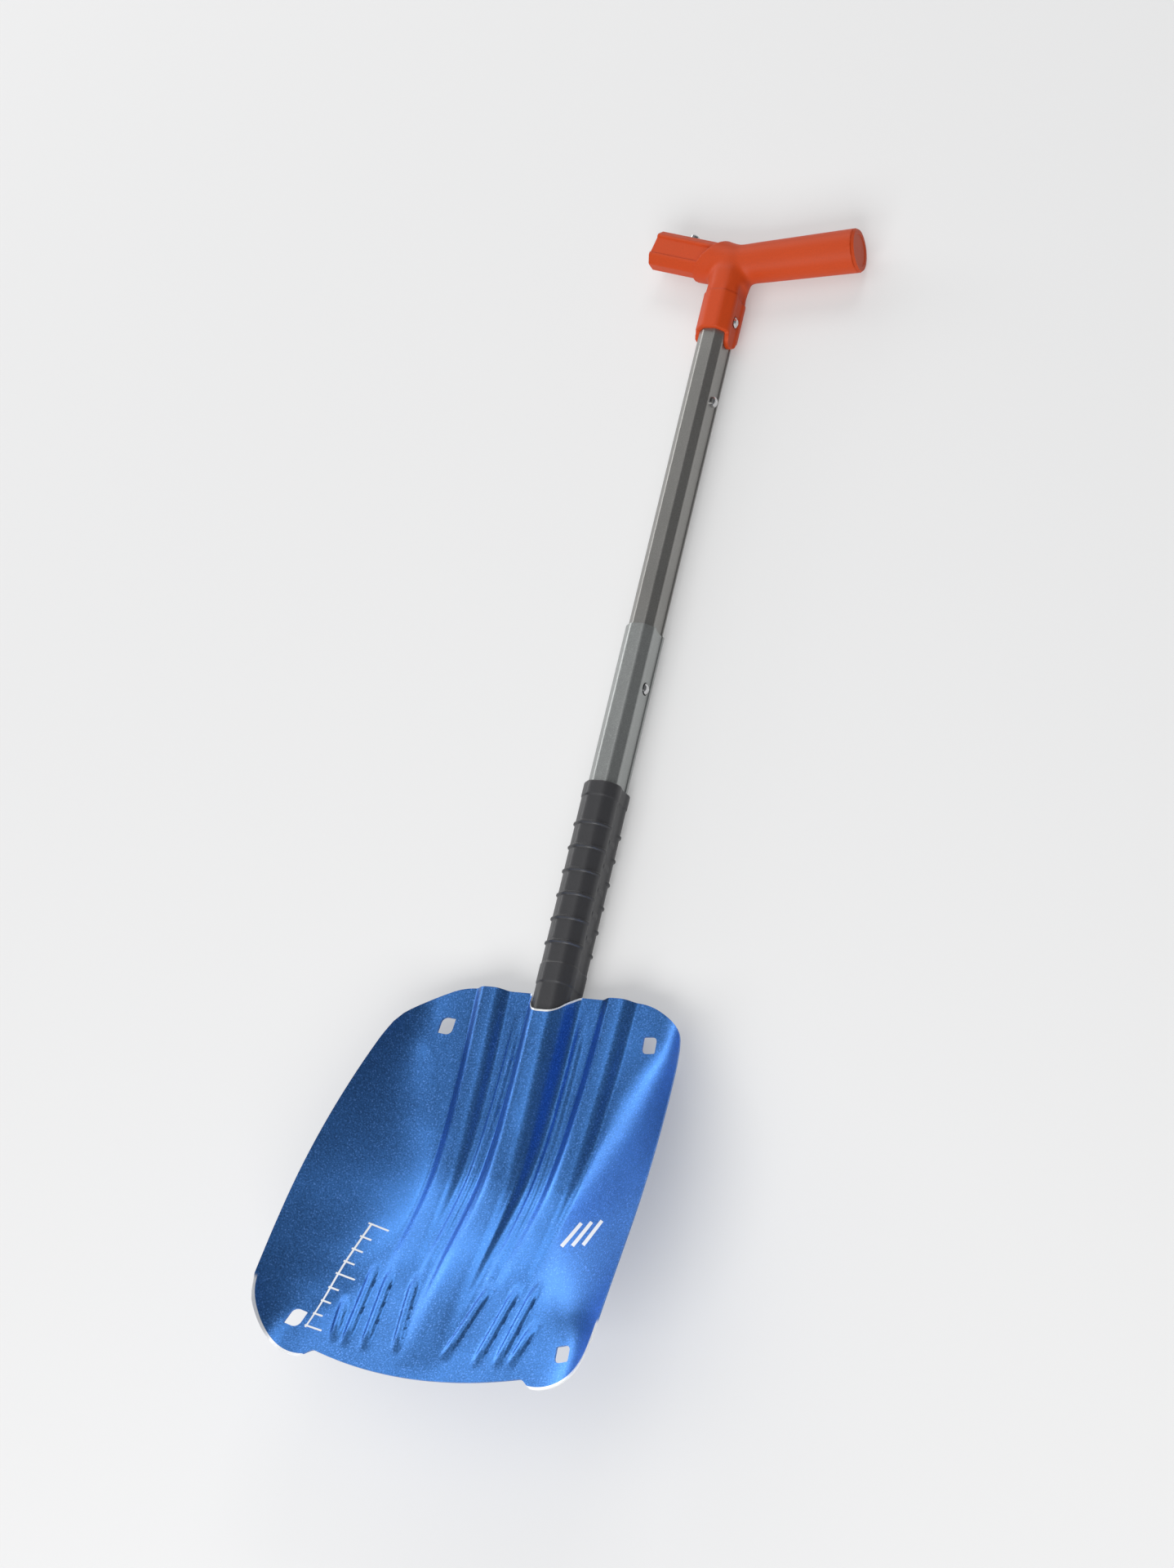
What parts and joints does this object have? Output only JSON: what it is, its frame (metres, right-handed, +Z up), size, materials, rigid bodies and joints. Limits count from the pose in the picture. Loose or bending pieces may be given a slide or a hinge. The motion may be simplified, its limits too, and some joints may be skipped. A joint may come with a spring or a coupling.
{
  "type": "avalanche shovel",
  "caption": "Telescopic avalanche shovel: corrugated blue alloy scoop, sleeved two-piece shaft with snap buttons, and an orange T handle with an adapter arm.",
  "frame": {"origin": "middle of the bounding box, on the floor under the shovel lying on its back", "axes": "+Y along the shaft from blade to handle, +Z up out of the hollow side of the blade, +X toward the long arm of the handle"},
  "size_m": [0.2386, 0.8578, 0.1016],
  "materials": {
    "blade": "blue anodised, fine sparkle, ground bare edges at the tips",
    "socket_metal": "mill finish",
    "weld_metal": "as welded",
    "rivet_metal": "bright",
    "lower_tube": "light grey anodised, fine sparkle",
    "upper_tube": "dark grey anodised",
    "grip_rubber": "matt, fine grain",
    "plug_plastic": "moulded",
    "handle_plastic": "moulded, fine grain",
    "button_steel": "polished dome",
    "spring_steel": "rolled strip"
  },
  "bodies": {
    "lower_half": {"blade": "blade", "socket_back": "socket_metal", "socket_welds": "weld_metal", "socket_cross_rivets": "rivet_metal", "lower_shaft": "lower_tube", "lower_shaft_plug": "plug_plastic", "shaft_grip": "grip_rubber"},
    "upper_half": {"upper_shaft": "upper_tube", "upper_shaft_guide": "plug_plastic", "upper_shaft_plug": "plug_plastic", "handle_body": "handle_plastic", "handle_end_cap": "handle_plastic", "neck_rivets": "button_steel", "adapter_arm": "handle_plastic", "adapter_end_cap": "handle_plastic", "extend_clip": "spring_steel", "retract_clip": "spring_steel", "adapter_clip": "spring_steel"},
    "extend_button": {"extend_button": "button_steel"},
    "retract_button": {"retract_button": "button_steel"},
    "adapter_button": {"adapter_button": "button_steel"}
  },
  "joints": [
    {"name": "telescope", "type": "slide", "parent": "lower_half", "child": "upper_half", "axis": [0, 1, 0], "range_m": [-0.22, 0.085], "deforming": ["extend_button"]},
    {"name": "extend_press", "type": "slide", "parent": "upper_half", "child": "extend_button", "axis": [-1, 0, 0], "range_m": [0, 0.004], "stiffness_N_per_m": 700, "springref_m": -0.004, "deforming": ["extend_clip"]},
    {"name": "retract_press", "type": "slide", "parent": "upper_half", "child": "retract_button", "axis": [-1, 0, 0], "range_m": [0, 0.004], "stiffness_N_per_m": 700, "springref_m": -0.004, "deforming": ["retract_clip"]},
    {"name": "adapter_press", "type": "slide", "parent": "upper_half", "child": "adapter_button", "axis": [-0.2062, -0.9785, 0], "range_m": [0, 0.004], "stiffness_N_per_m": 700, "springref_m": -0.004, "deforming": ["adapter_clip"]}
  ]
}
